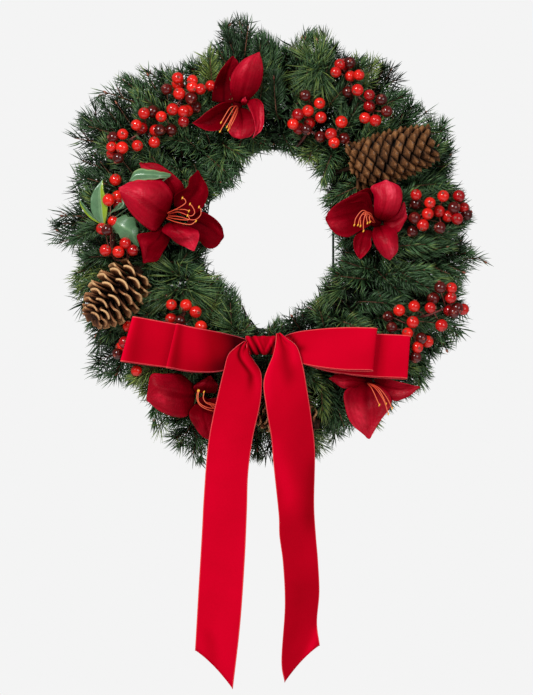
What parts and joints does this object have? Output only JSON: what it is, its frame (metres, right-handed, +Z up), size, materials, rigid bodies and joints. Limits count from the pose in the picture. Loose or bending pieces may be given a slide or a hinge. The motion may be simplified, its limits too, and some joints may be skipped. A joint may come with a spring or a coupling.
{
  "type": "fresh evergreen wreath",
  "caption": "Evergreen wreath on a wire ring frame, with red blooms, berries, pine cones, holly and a bow with long hanging tails.",
  "frame": {"origin": "inside of the outer frame ring at its top, where the hook holds it", "axes": "+Z up, +Y towards the door or wall behind, the wreath faces -Y, +X to its right as seen from the front"},
  "size_m": [0.5958, 0.126, 0.8789],
  "materials": {
    "frame_wire": "green enamelled steel wire",
    "tie_wire": "green florist wire",
    "foliage": "fresh evergreen needles, matt with a slight waxy sheen",
    "petals": "deep red petals, soft with a slight satin sheen",
    "stamens": "orange-red filaments with yellow anthers",
    "stalks": "green plant stalk",
    "berries": "glossy red berries on brown stalks",
    "cone_scales": "dry woody pine cone scales",
    "holly_leaf": "glossy waxy holly leaf with a lime edge",
    "ribbon": "red velvet ribbon with wired edges"
  },
  "bodies": {
    "root": {"wire_frame": "frame_wire", "bloom_top_petals": "petals", "bloom_top_stamens": "stamens", "bloom_top_stalk": "stalks", "bloom_left_petals": "petals", "bloom_left_stamens": "stamens", "bloom_left_stalk": "stalks", "bloom_right_petals": "petals", "bloom_right_stamens": "stamens", "bloom_right_stalk": "stalks", "bloom_lowerLeft_petals": "petals", "bloom_lowerLeft_stamens": "stamens", "bloom_lowerLeft_stalk": "stalks", "bloom_lowerRight_petals": "petals", "bloom_lowerRight_stamens": "stamens", "bloom_lowerRight_stalk": "stalks", "berries_topLeft": "berries", "berries_topInner": "berries", "berries_topRight": "berries", "berries_right": "berries", "berries_lowerRight": "berries", "berries_left": "berries", "berries_lowerLeft": "berries", "berries_lowerOuter": "berries", "cone_right": "cone_scales", "cone_left": "cone_scales", "cone_bottom": "cone_scales", "holly_sprig": "holly_leaf", "bow_loop_left_rear": "ribbon", "bow_loop_left_front": "ribbon", "bow_loop_right_front": "ribbon", "bow_loop_right_rear": "ribbon", "bow_knot": "ribbon", "bow_tail_left": "ribbon", "bow_tail_right": "ribbon", "bow_tie_wire": "tie_wire", "bough_01": "foliage", "bough_02": "foliage", "bough_03": "foliage", "bough_04": "foliage", "bough_05": "foliage", "bough_06": "foliage", "bough_07": "foliage", "bough_08": "foliage", "bough_09": "foliage", "bough_10": "foliage", "bough_11": "foliage", "bough_12": "foliage", "bough_13": "foliage", "bough_14": "foliage", "bough_15": "foliage", "bough_16": "foliage", "bough_17": "foliage", "bough_18": "foliage", "bough_19": "foliage", "bough_20": "foliage", "bough_21": "foliage", "bough_22": "foliage", "bough_23": "foliage", "bough_24": "foliage"}
  },
  "joints": []
}
